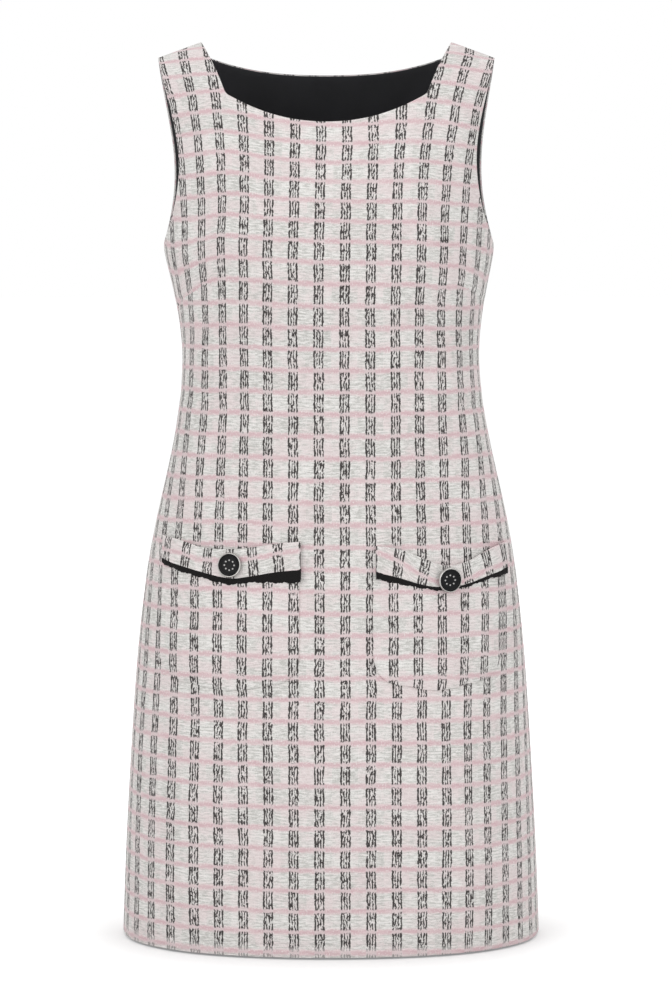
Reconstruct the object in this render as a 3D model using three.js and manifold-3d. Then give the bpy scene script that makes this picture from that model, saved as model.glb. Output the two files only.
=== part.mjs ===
// A sleeveless a-line dress in tweed with a black lining, as it hangs when it is filled out with no wearer.
// Millimetres, +Z up. The origin is on the shoulder line, midway between the straps; the front faces -Y.
// Every cut piece is a closed wall: its outer skin is the dress's form, and its inner skin lies one wall inside.

import * as THREE from 'three';
import Module from 'manifold-3d';
import { mergeVertices } from 'three/addons/utils/BufferGeometryUtils.js';

const wasm = await Module();
wasm.setup();

// ---- Driving dimensions, millimetres ----

const LENGTH = 856; // from the shoulder line to the hem
const TWEED = 1.8; // the wall of the outer cloth
const LINING = 1.0; // the wall of the lining
const SEAM = 0.3; // clearance between two pieces that are sewn together
const LINING_RISE = 24; // the lining ends this far above the hem
const WAIST_Z = -314;
const UNDERARM_Z = -198;
const SQUARENESS = 2.2; // the power of each section's curve: 2 would be an ellipse

// The body's level sections, from the hem up: how far the middle stands off the centre line (shift),
// half the width at the side seams, and the depths from the side seams to centre front and centre back.
// Above the underarm the width is that of the whole curve, of which the armholes cut off the ends.
const SECTIONS = [
  { z: -LENGTH, shift: 0, half: 201, front: 146, back: 150 },
  { z: -770, shift: 0, half: 197.8, front: 144, back: 148 },
  { z: -652, shift: 0, half: 191, front: 136, back: 142 },
  { z: -574, shift: 0, half: 185.3, front: 125, back: 134 },
  { z: -516, shift: 0.3, half: 178.8, front: 116, back: 129 },
  { z: -458, shift: 0.8, half: 169.2, front: 106, back: 122 },
  { z: -401, shift: 1, half: 155.4, front: 102, back: 108 },
  { z: -362, shift: 0.8, half: 146.6, front: 104, back: 99 },
  { z: WAIST_Z, shift: 0.3, half: 141.2, front: 108, back: 93 },
  { z: -276, shift: -0.5, half: 143, front: 114, back: 93 },
  { z: -238, shift: -1, half: 149.2, front: 121, back: 96 },
  { z: -211, shift: -1.5, half: 155.6, front: 123, back: 99 },
  { z: UNDERARM_Z, shift: -2, half: 158.6, front: 122, back: 100 },
  { z: -175, shift: -2.2, half: 158.2, front: 117.5, back: 101 },
  { z: -145, shift: -2.6, half: 158, front: 109, back: 101.5 },
  { z: -110, shift: -3, half: 159, front: 95, back: 97 },
  { z: -80, shift: -4, half: 161, front: 79, back: 86 },
  { z: -50, shift: -4.3, half: 165, front: 61, back: 70 },
  { z: -30, shift: -4.4, half: 166, front: 45, back: 55 },
  { z: -12, shift: -4.4, half: 166, front: 28, back: 35 },
];

// The armhole's edge, from the underarm up: its distance from the middle on the front and on the back.
const ARMHOLE = [
  { z: UNDERARM_Z, front: 158.6, back: 158.6 },
  { z: -189, front: 156, back: 157.2 },
  { z: -176, front: 150, back: 153.8 },
  { z: -152, front: 143.4, back: 149.4 },
  { z: -133, front: 140.4, back: 147.4 },
  { z: -114, front: 139.4, back: 147.2 },
  { z: -95, front: 141.4, back: 149 },
  { z: -76, front: 145.2, back: 151.8 },
  { z: -57, front: 150.4, back: 155.2 },
  { z: -30, front: 157.6, back: 159.4 },
  { z: -17, front: 160.4, back: 160.4 },
];

// The shoulder seam, from the neck end to the armhole end.
const SHOULDER = { neckX: 119, neckZ: -2, armX: 160.4, armZ: -17 };

// The neckline of each panel: a shallow scoop between two corners, from which the strap goes up.
const FRONT_NECK = { cornerX: 95, cornerZ: -52, middleZ: -79.5, power: 2.1, strapZ: -60 };
const BACK_NECK = { cornerX: 117, cornerZ: -14, middleZ: -31.5, power: 2.6, strapZ: -31 };

// ---- The grid of a panel ----

const STRAP_COLUMNS = 4;
const MIDDLE_COLUMNS = 5; // from the strap's neck edge to the centre line
const SKIRT_ROWS = 11;
const BODICE_ROWS = 4;
const STRAP_ROWS = 3;
const ARMHOLE_STEPS = [0.07, 0.19, 0.37, 0.58, 0.79, 1]; // shares of the way up to the strap's foot
const HALF_COLUMNS = STRAP_COLUMNS + MIDDLE_COLUMNS;
const COLUMNS = 2 * HALF_COLUMNS;

// A smooth value from a table, by the column's name, at a height.
function sample(table, key, z) {
  let i = table.findIndex((row) => row.z >= z);
  if (i < 0) i = table.length - 1;
  i = Math.min(Math.max(i, 1), table.length - 1);
  const slope = (j) => {
    const low = table[Math.max(j - 1, 0)];
    const high = table[Math.min(j + 1, table.length - 1)];
    return (high[key] - low[key]) / (high.z - low.z);
  };
  const a = table[i - 1];
  const b = table[i];
  const step = b.z - a.z;
  const t = Math.min(Math.max((z - a.z) / step, 0), 1);
  const rise = b[key] - a[key];
  const start = slope(i - 1) * step;
  const end = slope(i) * step;
  return a[key] + t * start + t * t * (3 * rise - 2 * start - end) + t * t * t * (start + end - 2 * rise);
}

// The point of one panel's outer skin at a share of the way round, from -1 at the side on -X,
// through 0 at the centre line, to 1 at the side on +X, and at a height.
function skin(side, share, z) {
  const half = sample(SECTIONS, 'half', z);
  const depth = sample(SECTIONS, side, z);
  const edge = z > UNDERARM_Z ? sample(ARMHOLE, side, z) : half;
  const widest = Math.asin(Math.min(1, (edge / half) ** (SQUARENESS / 2)));
  const angle = Math.abs(share) * widest;
  const x = half * Math.sin(angle) ** (2 / SQUARENESS);
  const y = depth * Math.max(Math.cos(angle), 0) ** (2 / SQUARENESS);
  return new THREE.Vector3(
    sample(SECTIONS, 'shift', z) + Math.sign(share) * x,
    side === 'front' ? -y : y,
    z,
  );
}

// The share of the way round at which a column runs. cornerShare is where the strap's neck edge lies.
function columnShare(column, cornerShare) {
  const fromMiddle = Math.abs(column - HALF_COLUMNS);
  const share = fromMiddle <= MIDDLE_COLUMNS
    ? (fromMiddle / MIDDLE_COLUMNS) * cornerShare
    : cornerShare + ((fromMiddle - MIDDLE_COLUMNS) / STRAP_COLUMNS) * (1 - cornerShare);
  return Math.sign(column - HALF_COLUMNS) * share;
}

// The share at which a panel reaches a distance from the middle, at a height.
function shareAt(side, distance, z) {
  let low = 0;
  let high = 1;
  for (let i = 0; i < 30; i += 1) {
    const middle = (low + high) / 2;
    if (skin(side, middle, z).x - sample(SECTIONS, 'shift', z) < distance) low = middle;
    else high = middle;
  }
  return low;
}

// The height at which a column leaves the body: at the neckline, or at the strap's foot.
function topHeight(side, neck, share, cornerShare) {
  if (Math.abs(share) > cornerShare) {
    const across = (Math.abs(share) - cornerShare) / (1 - cornerShare);
    return neck.cornerZ + across * (neck.strapZ - neck.cornerZ);
  }
  let z = neck.middleZ;
  for (let i = 0; i < 12; i += 1) {
    const distance = Math.abs(skin(side, share, z).x - sample(SECTIONS, 'shift', z));
    z = neck.middleZ + (neck.cornerZ - neck.middleZ) * Math.min(1, distance / neck.cornerX) ** neck.power;
  }
  return z;
}

// The points of a panel's outer skin, in rows from the hem up. Above the strap's foot only the strap's
// columns go on, and the places between them stay empty.
function panelGrid(side, neck, hemZ) {
  const heights = [];
  for (let i = 0; i < SKIRT_ROWS; i += 1) heights.push(-LENGTH + (i / SKIRT_ROWS) * (LENGTH + WAIST_Z));
  for (let i = 0; i <= BODICE_ROWS; i += 1) heights.push(WAIST_Z + (i / BODICE_ROWS) * (UNDERARM_Z - WAIST_Z));
  heights[0] = hemZ;
  const cornerShare = shareAt(side, neck.cornerX, neck.cornerZ);
  const shares = Array.from({ length: COLUMNS + 1 }, (_, column) => columnShare(column, cornerShare));
  const tops = shares.map((share) => topHeight(side, neck, share, cornerShare));
  const grid = heights.map((z) => shares.map((share) => skin(side, share, z)));
  for (const step of ARMHOLE_STEPS) {
    grid.push(shares.map((share, c) => skin(side, share, UNDERARM_Z + step * (tops[c] - UNDERARM_Z))));
  }
  const foot = grid[grid.length - 1];
  for (let i = 1; i <= STRAP_ROWS; i += 1) {
    grid.push(shares.map((share, c) => {
      const fromMiddle = Math.abs(c - HALF_COLUMNS);
      if (fromMiddle < MIDDLE_COLUMNS) return null;
      const across = (fromMiddle - MIDDLE_COLUMNS) / STRAP_COLUMNS;
      return strapPoint(side, foot[c], share, across, i / STRAP_ROWS);
    }));
  }
  return grid;
}

// A point of a strap, on a smooth arc that leaves its foot along the body and is level at the shoulder seam.
function strapPoint(side, foot, share, across, t) {
  const sign = Math.sign(share);
  const seam = new THREE.Vector3(
    sample(SECTIONS, 'shift', 0) + sign * (SHOULDER.neckX + across * (SHOULDER.armX - SHOULDER.neckX)),
    0,
    SHOULDER.neckZ + across * (SHOULDER.armZ - SHOULDER.neckZ),
  );
  const chord = seam.distanceTo(foot);
  const up = skin(side, share, foot.z).sub(skin(side, share, foot.z - 6)).normalize().multiplyScalar(chord);
  const over = new THREE.Vector3(0, side === 'front' ? chord : -chord, 0);
  const point = new THREE.Vector3();
  point.addScaledVector(foot, 2 * t ** 3 - 3 * t ** 2 + 1);
  point.addScaledVector(up, t ** 3 - 2 * t ** 2 + t);
  point.addScaledVector(seam, 3 * t ** 2 - 2 * t ** 3);
  point.addScaledVector(over, t ** 3 - t ** 2);
  return point;
}

// The outward direction at each point of a grid. Along the side seams and the shoulder seams it has no
// part along Y, so that the edges of the two panels face each other squarely.
function gridNormals(grid, side) {
  const at = (r, c) => grid[r]?.[c] ?? null;
  const underarmRow = SKIRT_ROWS + BODICE_ROWS;
  return grid.map((row, r) => row.map((point, c) => {
    if (!point) return null;
    const across = (at(r, c + 1) ?? point).clone().sub(at(r, c - 1) ?? point);
    const up = (at(r + 1, c) ?? point).clone().sub(at(r - 1, c) ?? point);
    const normal = across.cross(up);
    if (side === 'back') normal.negate();
    const onSideSeam = (c === 0 || c === COLUMNS) && r <= underarmRow;
    if (onSideSeam || r === grid.length - 1) normal.y = 0;
    return normal.normalize();
  }));
}

// ---- Closed walls ----

// A closed wall over a grid, between two distances outward from it. Edges on the seam plane y = 0 are
// drawn back by half a seam.
function wall(grid, normals, side, inner, outer) {
  const positions = [];
  const index = [];
  const places = grid.map((row) => row.map(() => null));
  const back = side === 'front' ? -1 : 1;
  const put = (r, c, distance) => {
    const p = grid[r][c].clone().addScaledVector(normals[r][c], distance);
    if (Math.abs(grid[r][c].y) < SEAM) p.y = (back * SEAM) / 2;
    positions.push(p.x, p.y, p.z);
    return positions.length / 3 - 1;
  };
  const place = (r, c) => {
    places[r][c] ??= [put(r, c, outer), put(r, c, inner)];
    return places[r][c];
  };
  const quad = (a, b, c, d) => {
    if (side === 'front') index.push(a, b, c, a, c, d);
    else index.push(a, c, b, a, d, c);
  };
  const whole = (r, c) => [[r, c], [r, c + 1], [r + 1, c + 1], [r + 1, c]].every(([i, j]) => grid[i]?.[j]);
  for (let r = 0; r < grid.length - 1; r += 1) {
    for (let col = 0; col < COLUMNS; col += 1) {
      if (!whole(r, col)) continue;
      const corners = [place(r, col), place(r, col + 1), place(r + 1, col + 1), place(r + 1, col)];
      const [a, b, c, d] = corners.map((corner) => corner[1]);
      quad(...corners.map((corner) => corner[0]));
      quad(a, d, c, b);
      const open = [!whole(r - 1, col), !whole(r, col + 1), !whole(r + 1, col), !whole(r, col - 1)];
      open.forEach((isOpen, i) => {
        const [from, to] = [corners[i], corners[(i + 1) % 4]];
        if (isOpen) quad(from[0], from[1], to[1], to[0]);
      });
    }
  }
  const geometry = new THREE.BufferGeometry();
  geometry.setAttribute('position', new THREE.Float32BufferAttribute(positions, 3));
  geometry.setIndex(index);
  return geometry;
}

// ---- Pieces cut out of a wall that lies on the front ----

function toSolid(geometry) {
  const bare = geometry.clone();
  bare.deleteAttribute('normal');
  bare.deleteAttribute('uv');
  const merged = mergeVertices(bare, 1e-3);
  return new wasm.Manifold(new wasm.Mesh({
    numProp: 3,
    vertProperties: new Float32Array(merged.attributes.position.array),
    triVerts: new Uint32Array(merged.index.array),
  }));
}

function toGeometry(solid) {
  const { vertProperties, triVerts } = solid.getMesh();
  const geometry = new THREE.BufferGeometry();
  geometry.setAttribute('position', new THREE.BufferAttribute(new Float32Array(vertProperties), 3));
  geometry.setIndex(new THREE.BufferAttribute(new Uint32Array(triVerts), 1));
  return geometry;
}

const PRISM_DEPTH = 220; // reaches from the side seams past the front

// The stretch of a wall inside an outline that is drawn as seen from the front, in x and z.
function cutFromWall(layer, outline) {
  const prism = new THREE.ExtrudeGeometry(outline, { depth: PRISM_DEPTH, bevelEnabled: false, curveSegments: 6 });
  prism.rotateX(Math.PI / 2);
  return toGeometry(layer.intersect(toSolid(prism)));
}

const POCKET = { wall: 1.8, radius: 34, bow: 5, topZ: -487 };
const FLAP = { wall: 2.2 };
const BUTTON = { radius: 10.4, rim: 11.6, thickness: 3.4, standOff: 1.4, shank: 4 };

// Each side has a pocket, from its inner to its outer edge and down to its bottom, and a flap over it.
// The flap's table runs from its inner to its outer end: distance from the centre line, the sewn top edge,
// the lower edge of the tweed and the lower edge of the black trim under it.
const SIDES = [
  {
    name: 'right',
    sign: -1,
    pocket: { inner: 29.5, outer: 163, bottom: -604 },
    flap: [
      { x: 28, top: -470, tweed: -496, trim: -507.5 },
      { x: 50, top: -472, tweed: -498, trim: -508.5 },
      { x: 78, top: -476.5, tweed: -503, trim: -508.5 },
      { x: 95, top: -478, tweed: -505, trim: -511 },
      { x: 120, top: -477.5, tweed: -500.5, trim: -506 },
      { x: 143, top: -471.5, tweed: -495, trim: -500.5 },
      { x: 160, top: -468.5, tweed: -491, trim: -494.5 },
    ],
    button: { x: -92.2, z: -493.8, tip: 2 },
  },
  {
    name: 'left',
    sign: 1,
    pocket: { inner: 39, outer: 162, bottom: -604 },
    flap: [
      { x: 42, top: -474.2, tweed: -498.5, trim: -504.5 },
      { x: 62, top: -476.8, tweed: -503.2, trim: -509.5 },
      { x: 86, top: -486, tweed: -510.7, trim: -514 },
      { x: 104, top: -493, tweed: -513.2, trim: -516.7 },
      { x: 126, top: -491.6, tweed: -512, trim: -515 },
      { x: 148, top: -481, tweed: -505.2, trim: -508.8 },
      { x: 168, top: -474.5, tweed: -499.8, trim: -505.5 },
    ],
    button: { x: 107.8, z: -507.5, tip: 14 },
  },
];

// A shape between an upper and a lower edge, each given by a key of the flap's table and a shift in height.
function bandOutline(side, upper, lower, drop) {
  const along = (key, shift) => {
    const knots = side.flap.map((row) => new THREE.Vector2(side.sign * row.x, row[key] + shift));
    return new THREE.SplineCurve(knots).getPoints(2 * knots.length);
  };
  return new THREE.Shape([...along(upper, -drop), ...along(lower, 0).reverse()]);
}

// A patch pocket: straight sides, round lower corners and a bottom that bows down a little.
function pocketOutline(side) {
  const { inner, outer, bottom } = side.pocket;
  const { radius, bow, topZ } = POCKET;
  const shape = new THREE.Shape();
  const x = (distance) => side.sign * distance;
  shape.moveTo(x(inner), topZ);
  shape.lineTo(x(inner), bottom + radius);
  shape.quadraticCurveTo(x(inner), bottom, x(inner + radius), bottom);
  shape.quadraticCurveTo(x((inner + outer) / 2), bottom - 2 * bow, x(outer - radius), bottom);
  shape.quadraticCurveTo(x(outer), bottom, x(outer), bottom + radius);
  shape.lineTo(x(outer), topZ);
  return shape;
}

// ---- Materials ----

function material(color, roughness, metalness = 0) {
  return new THREE.MeshStandardMaterial({ color, roughness, metalness });
}

const TWEED_CLOTH = material(0xdcd3d1, 0.9);
const LINING_CLOTH = material(0x1a1a1b, 0.6);
const BRAID = material(0x121213, 0.9);
const BLACK_GLOSS = material(0x0c0c0d, 0.2);
const RIM_METAL = material(0xc9c7c4, 0.3, 1);

// ---- The dress ----

const dress = new THREE.Group();

function addPiece(name, geometry, finish, parent = dress) {
  const plain = geometry.index ? geometry.toNonIndexed() : geometry;
  plain.computeVertexNormals();
  const mesh = new THREE.Mesh(plain, finish.clone());
  mesh.name = name;
  parent.add(mesh);
  return mesh;
}

const PANELS = [
  { side: 'front', neck: FRONT_NECK },
  { side: 'back', neck: BACK_NECK },
];
for (const { side, neck } of PANELS) {
  const grid = panelGrid(side, neck, -LENGTH);
  addPiece(side, wall(grid, gridNormals(grid, side), side, -TWEED, 0), TWEED_CLOTH);
  const inside = panelGrid(side, neck, -LENGTH + LINING_RISE);
  const depth = TWEED + SEAM;
  const lining = wall(inside, gridNormals(inside, side), side, -depth - LINING, -depth);
  addPiece(`lining_${side}`, lining, LINING_CLOTH);
}

// The layers that lie on the front: the pockets next to it, then the flaps.
const frontGrid = panelGrid('front', FRONT_NECK, -LENGTH).slice(0, SKIRT_ROWS + 1);
const frontNormals = gridNormals(frontGrid, 'none');
const pocketLayer = toSolid(wall(frontGrid, frontNormals, 'front', SEAM, SEAM + POCKET.wall));
const flapInner = 2 * SEAM + POCKET.wall;
const flapLayer = toSolid(wall(frontGrid, frontNormals, 'front', flapInner, flapInner + FLAP.wall));

// The point of the front at a distance from the centre line and a height, and its outward direction.
function frontPoint(x, z) {
  const shift = sample(SECTIONS, 'shift', z);
  const point = skin('front', Math.sign(x - shift) * shareAt('front', Math.abs(x - shift), z), z);
  const beside = skin('front', Math.sign(x - shift) * shareAt('front', Math.abs(x - shift) + 1, z), z);
  const above = skin('front', Math.sign(x - shift) * shareAt('front', Math.abs(x - shift), z + 1), z + 1);
  const across = beside.sub(point).multiplyScalar(Math.sign(x - shift));
  return { point, outward: across.cross(above.sub(point)).normalize() };
}

// A round button whose back plate, rim and shank are one turned metal piece, with a domed black face set in it.
function addButton(side) {
  const { radius, rim, thickness, standOff, shank } = BUTTON;
  const { x, z, tip } = side.button;
  const { point, outward } = frontPoint(x, z);
  const group = new THREE.Group();
  const upright = new THREE.Vector3(0, 1, 0);
  const tipAngle = THREE.MathUtils.degToRad(tip);
  const lift = 0.5 * rim * Math.sin(tipAngle); // keeps the tipped rim off the flap
  group.position.copy(point).addScaledVector(outward, flapInner + FLAP.wall + lift);
  group.quaternion.setFromUnitVectors(upright, outward);
  group.quaternion.premultiply(new THREE.Quaternion().setFromAxisAngle(new THREE.Vector3(1, 0, 0), tipAngle));
  dress.add(group);
  const foot = shank * Math.sin(tipAngle) - lift + 0.5 * SEAM; // the shank's foot, just clear of the flap
  const plate = standOff + 0.8;
  const top = standOff + thickness;
  const metal = [
    [0, foot], [shank, foot], [shank, standOff], [rim - 0.8, standOff], [rim, standOff + 0.9], [rim, top - 0.7],
    [rim - 0.5, top], [radius + SEAM, top], [radius + SEAM, plate], [0, plate],
  ];
  const face = [
    [0, plate + SEAM], [radius, plate + SEAM], [radius, top - 0.3], [radius - 0.7, top + 0.3],
    [radius - 2.4, top + 0.1], [radius - 3.4, top - 0.4], [0, top - 0.5],
  ];
  const turn = (profile) => new THREE.LatheGeometry(profile.map(([r, h]) => new THREE.Vector2(r, h)), 28);
  addPiece(`button_rim_${side.name}`, turn(metal), RIM_METAL, group);
  addPiece(`button_${side.name}`, turn(face), BLACK_GLOSS, group);
}

for (const side of SIDES) {
  addPiece(`pocket_${side.name}`, cutFromWall(pocketLayer, pocketOutline(side)), TWEED_CLOTH);
  addPiece(`flap_${side.name}`, cutFromWall(flapLayer, bandOutline(side, 'top', 'tweed', 0)), TWEED_CLOTH);
  addPiece(`flap_trim_${side.name}`, cutFromWall(flapLayer, bandOutline(side, 'tweed', 'trim', SEAM)), BRAID);
  addButton(side);
}

export default dress;
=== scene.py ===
# %% [markdown]
# # An a-line dress in checked tweed
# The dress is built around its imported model: every shell below starts from the wall that the model
# already has, so nothing is fitted by eye. First come the tools, the frame and the box that the looks
# have to stay in.

# %% Load the frame
import math

import bmesh
import bpy
import numpy as np
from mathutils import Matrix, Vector
from mathutils.bvhtree import BVHTree


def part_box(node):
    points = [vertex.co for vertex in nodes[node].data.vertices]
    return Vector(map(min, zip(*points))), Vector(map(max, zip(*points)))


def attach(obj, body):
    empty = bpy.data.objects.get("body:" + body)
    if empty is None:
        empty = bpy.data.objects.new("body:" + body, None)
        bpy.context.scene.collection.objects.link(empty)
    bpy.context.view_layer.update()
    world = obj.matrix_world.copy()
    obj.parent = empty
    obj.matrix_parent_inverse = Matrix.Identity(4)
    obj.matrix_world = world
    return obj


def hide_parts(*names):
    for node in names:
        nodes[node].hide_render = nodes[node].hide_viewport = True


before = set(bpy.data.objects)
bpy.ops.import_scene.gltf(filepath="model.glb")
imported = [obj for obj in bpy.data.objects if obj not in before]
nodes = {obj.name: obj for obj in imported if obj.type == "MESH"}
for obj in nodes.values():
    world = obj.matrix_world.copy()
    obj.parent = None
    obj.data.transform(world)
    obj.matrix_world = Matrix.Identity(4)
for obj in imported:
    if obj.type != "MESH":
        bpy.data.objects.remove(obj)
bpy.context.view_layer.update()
MM = 0.001
shoulder_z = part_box("front")[1].z
hem_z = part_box("front")[0].z
print("shoulder to hem:", round(shoulder_z - hem_z, 3), "m")

# %% [markdown]
# ## Camera
# A dress is photographed from far away with a long lens, so that its top and its hem keep their true
# proportions. The camera stands 3.7 m in front at chest height and looks slightly down at the middle.

# %% Camera
CAMERA_DISTANCE = 3.7
CAMERA_HEIGHT = -0.17
AIM_HEIGHT = -0.443
CAMERA_ASIDE = 0.0048

bpy.ops.object.camera_add(location=(CAMERA_ASIDE, -CAMERA_DISTANCE, CAMERA_HEIGHT))
camera = bpy.context.object
camera.name = "camera"
tilt = math.atan2(CAMERA_HEIGHT - AIM_HEIGHT, CAMERA_DISTANCE)
camera.rotation_euler = (math.pi / 2 - tilt, 0, 0)
camera.data.lens = 138
bpy.context.scene.camera = camera
print("camera looks down by", round(math.degrees(tilt), 1), "degrees")

# %% [markdown]
# ## Studio
# The floor and the world are white only where the camera or a polished surface sees them. What lights
# the dress is a plain grey sky and three large soft lamps, so colours render as they are written. The
# floor keeps a soft shadow. Its white is partly the light that falls on it, which the dress really shades,
# and partly its own glow, which an ambient occlusion node dims near the hem as a painted contact shadow.

# %% Floor and world
FLOOR_GAP = 2 * MM
FLOOR_SIZE = 60
SKY_STRENGTH = 0.62
GLOW_NEAR = 0.42
GLOW_FAR = 0.55
PAINTED_SHADOW_REACH = 0.075


def camera_only_white(tree, lit, white):
    """Mixes a shader with plain white for camera, glossy and transmission rays."""
    path = tree.nodes.new("ShaderNodeLightPath")
    seen = tree.nodes.new("ShaderNodeMath")
    seen.operation = "MAXIMUM"
    also = tree.nodes.new("ShaderNodeMath")
    also.operation = "MAXIMUM"
    tree.links.new(path.outputs["Is Camera Ray"], seen.inputs[0])
    tree.links.new(path.outputs["Is Glossy Ray"], seen.inputs[1])
    tree.links.new(seen.outputs[0], also.inputs[0])
    tree.links.new(path.outputs["Is Transmission Ray"], also.inputs[1])
    mix = tree.nodes.new("ShaderNodeMixShader")
    tree.links.new(also.outputs[0], mix.inputs[0])
    tree.links.new(lit, mix.inputs[1])
    tree.links.new(white, mix.inputs[2])
    return mix.outputs[0]


bpy.ops.object.select_all(action="DESELECT")
bpy.ops.mesh.primitive_plane_add(size=FLOOR_SIZE, location=(0, 0, hem_z - FLOOR_GAP))
floor = bpy.context.object
floor.name = "floor"
floor_finish = bpy.data.materials.new("floor")
floor_finish.use_nodes = True
tree = floor_finish.node_tree
tree.nodes.clear()
paper = tree.nodes.new("ShaderNodeBsdfDiffuse")
paper.inputs["Color"].default_value = (0.8, 0.8, 0.8, 1)
glow = tree.nodes.new("ShaderNodeEmission")
place = tree.nodes.new("ShaderNodeTexCoord")
spread = tree.nodes.new("ShaderNodeVectorMath")
spread.operation = "LENGTH"
ramp = tree.nodes.new("ShaderNodeMapRange")
for name, value in (("From Min", 0.3), ("From Max", 1.2), ("To Min", GLOW_NEAR), ("To Max", GLOW_FAR)):
    ramp.inputs[name].default_value = value
tree.links.new(place.outputs["Object"], spread.inputs[0])
tree.links.new(spread.outputs["Value"], ramp.inputs["Value"])
# Painted contact shadow: an ambient occlusion node dims the floor's own glow near the hem.
painted_contact_shadow = tree.nodes.new("ShaderNodeAmbientOcclusion")
painted_contact_shadow.inputs["Distance"].default_value = PAINTED_SHADOW_REACH
glow_under_painted_shadow = tree.nodes.new("ShaderNodeMath")
glow_under_painted_shadow.operation = "MULTIPLY"
tree.links.new(ramp.outputs[0], glow_under_painted_shadow.inputs[0])
tree.links.new(painted_contact_shadow.outputs["AO"], glow_under_painted_shadow.inputs[1])
tree.links.new(glow_under_painted_shadow.outputs[0], glow.inputs["Strength"])
both = tree.nodes.new("ShaderNodeAddShader")
tree.links.new(paper.outputs[0], both.inputs[0])
tree.links.new(glow.outputs[0], both.inputs[1])
out = tree.nodes.new("ShaderNodeOutputMaterial")
tree.links.new(camera_only_white(tree, paper.outputs[0], both.outputs[0]), out.inputs[0])
floor.data.materials.append(floor_finish)

world = bpy.data.worlds.new("studio")
bpy.context.scene.world = world
world.use_nodes = True
tree = world.node_tree
tree.nodes.clear()
sky = tree.nodes.new("ShaderNodeBackground")
sky.inputs["Strength"].default_value = SKY_STRENGTH
white = tree.nodes.new("ShaderNodeBackground")
white.inputs["Strength"].default_value = 1.0
for background in (sky, white):
    background.inputs["Color"].default_value = (1, 1, 1, 1)
out = tree.nodes.new("ShaderNodeOutputWorld")
tree.links.new(camera_only_white(tree, sky.outputs[0], white.outputs[0]), out.inputs[0])
bpy.context.scene.view_settings.view_transform = "Standard"

# %% Lamps
LAMPS = [
    {"name": "key", "place": (-1.9, -2.4, 1.0), "size": 2.0, "power": 27},
    {"name": "fill", "place": (2.0, -2.4, 0.4), "size": 2.4, "power": 22},
    {"name": "top", "place": (0.0, 0.6, 2.2), "size": 2.4, "power": 14},
    {"name": "rear", "place": (0.4, 3.2, 0.6), "size": 2.6, "power": 24},
]
for lamp in LAMPS:
    bpy.ops.object.light_add(type="AREA", location=lamp["place"])
    light = bpy.context.object
    light.name = lamp["name"]
    light.data.size = lamp["size"]
    light.data.energy = lamp["power"]
    toward = Vector((0, 0, AIM_HEIGHT)) - light.location
    light.rotation_euler = toward.to_track_quat("-Z", "Y").to_euler()

# %% [markdown]
# ## Reading a panel's grid
# A cut panel of the model is a regular grid of small flat faces with an inner skin, an outer skin and
# a narrow rim. The outer skin alone is what the cloth follows. A flood over faces that meet at a
# shallow angle finds it, and then the grid is read row by row from the hem up: the neighbours of one
# row that haven't been met yet are the next row, and along a row the points go from -X to +X.

# %% Grid of a panel
SHARP = math.radians(50)
HEM_BAND = 4 * MM


def skins(node):
    """The smooth skins of a wall, each a set of faces, the outer one first, with its merged mesh."""
    mesh = bmesh.new()
    mesh.from_mesh(nodes[node].data)
    bmesh.ops.remove_doubles(mesh, verts=mesh.verts, dist=0.02 * MM)
    mesh.faces.ensure_lookup_table()
    mesh.normal_update()
    left = set(mesh.faces)
    found = []
    while left:
        skin, todo = set(), [left.pop()]
        while todo:
            face = todo.pop()
            skin.add(face)
            for edge in face.edges:
                if len(edge.link_faces) == 2 and edge.calc_face_angle() < SHARP:
                    for other in edge.link_faces:
                        if other in left:
                            left.discard(other)
                            todo.append(other)
        found.append(skin)
    found.sort(key=lambda skin: -sum(face.calc_area() for face in skin))
    return mesh, found[:2]


def outer_skin(node, outward_y):
    """The merged mesh of a panel and the skin whose faces look outward."""
    mesh, pair = skins(node)
    looks = [sum(face.normal.y * face.calc_area() for face in skin) * outward_y for skin in pair]
    return mesh, pair[0] if looks[0] > looks[1] else pair[1]


def panel_grid(node, outward_y):
    """A panel's points as rows from the hem up, each a list of (x, y, z) from -X to +X."""
    mesh, skin = outer_skin(node, outward_y)
    beside = {}
    for face in skin:
        for edge in face.edges:
            a, b = edge.verts
            beside.setdefault(a, set()).add(b)
            beside.setdefault(b, set()).add(a)
    lowest = min(v.co.z for v in beside)
    row = [v for v in beside if v.co.z < lowest + HEM_BAND]
    met, rows = set(), []
    while row:
        row.sort(key=lambda v: v.co.x)
        rows.append([tuple(v.co) for v in row])
        met.update(row)
        row = list({n for v in row for n in beside[v]} - met)
    mesh.free()
    return rows


front_rows = panel_grid("front", -1)
back_rows = panel_grid("back", 1)
print("front grid:", [len(row) for row in front_rows])
print("back grid:", [len(row) for row in back_rows])

# %% [markdown]
# ## Where the weave runs
# Tweed is drawn on the cloth, not in space, so every point needs its place on the flat piece: how far
# across from the centre and how far up from the hem, in metres. Across is measured level around the
# body. Up is measured along the centre of the panel, because the weft hangs level all round, apart from
# a little that it settles under the arms. On a shoulder strap the weave turns with the strap.

# %% Place on the flat cloth
STRAP_POINTS = len(front_rows[-1]) // 2
# How much higher the weft sits than an even 20 mm pitch from the hem would put it, by height.
WEFT_EASE = [(-0.856, 0.0), (-0.79, -0.002), (-0.71, -0.005), (-0.58, -0.0045), (-0.535, -0.006),
             (-0.49, -0.003), (-0.41, 0.0), (-0.32, 0.0033), (-0.26, 0.0033), (-0.225, 0.0058),
             (-0.18, 0.004), (-0.13, 0.0018), (-0.07, 0.0), (-0.04, 0.001)]
# How far the stripes lean towards the wearer's left, by height.
STRIPE_LEAN = [(-0.86, 0.0018), (-0.66, 0.0013), (-0.52, 0.0015), (-0.47, 0.0), (-0.33, 0.0),
               (-0.26, 0.001), (-0.22, 0.0024), (-0.18, 0.0034), (-0.14, 0.0048), (-0.09, 0.0068),
               (-0.02, 0.0075)]
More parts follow.
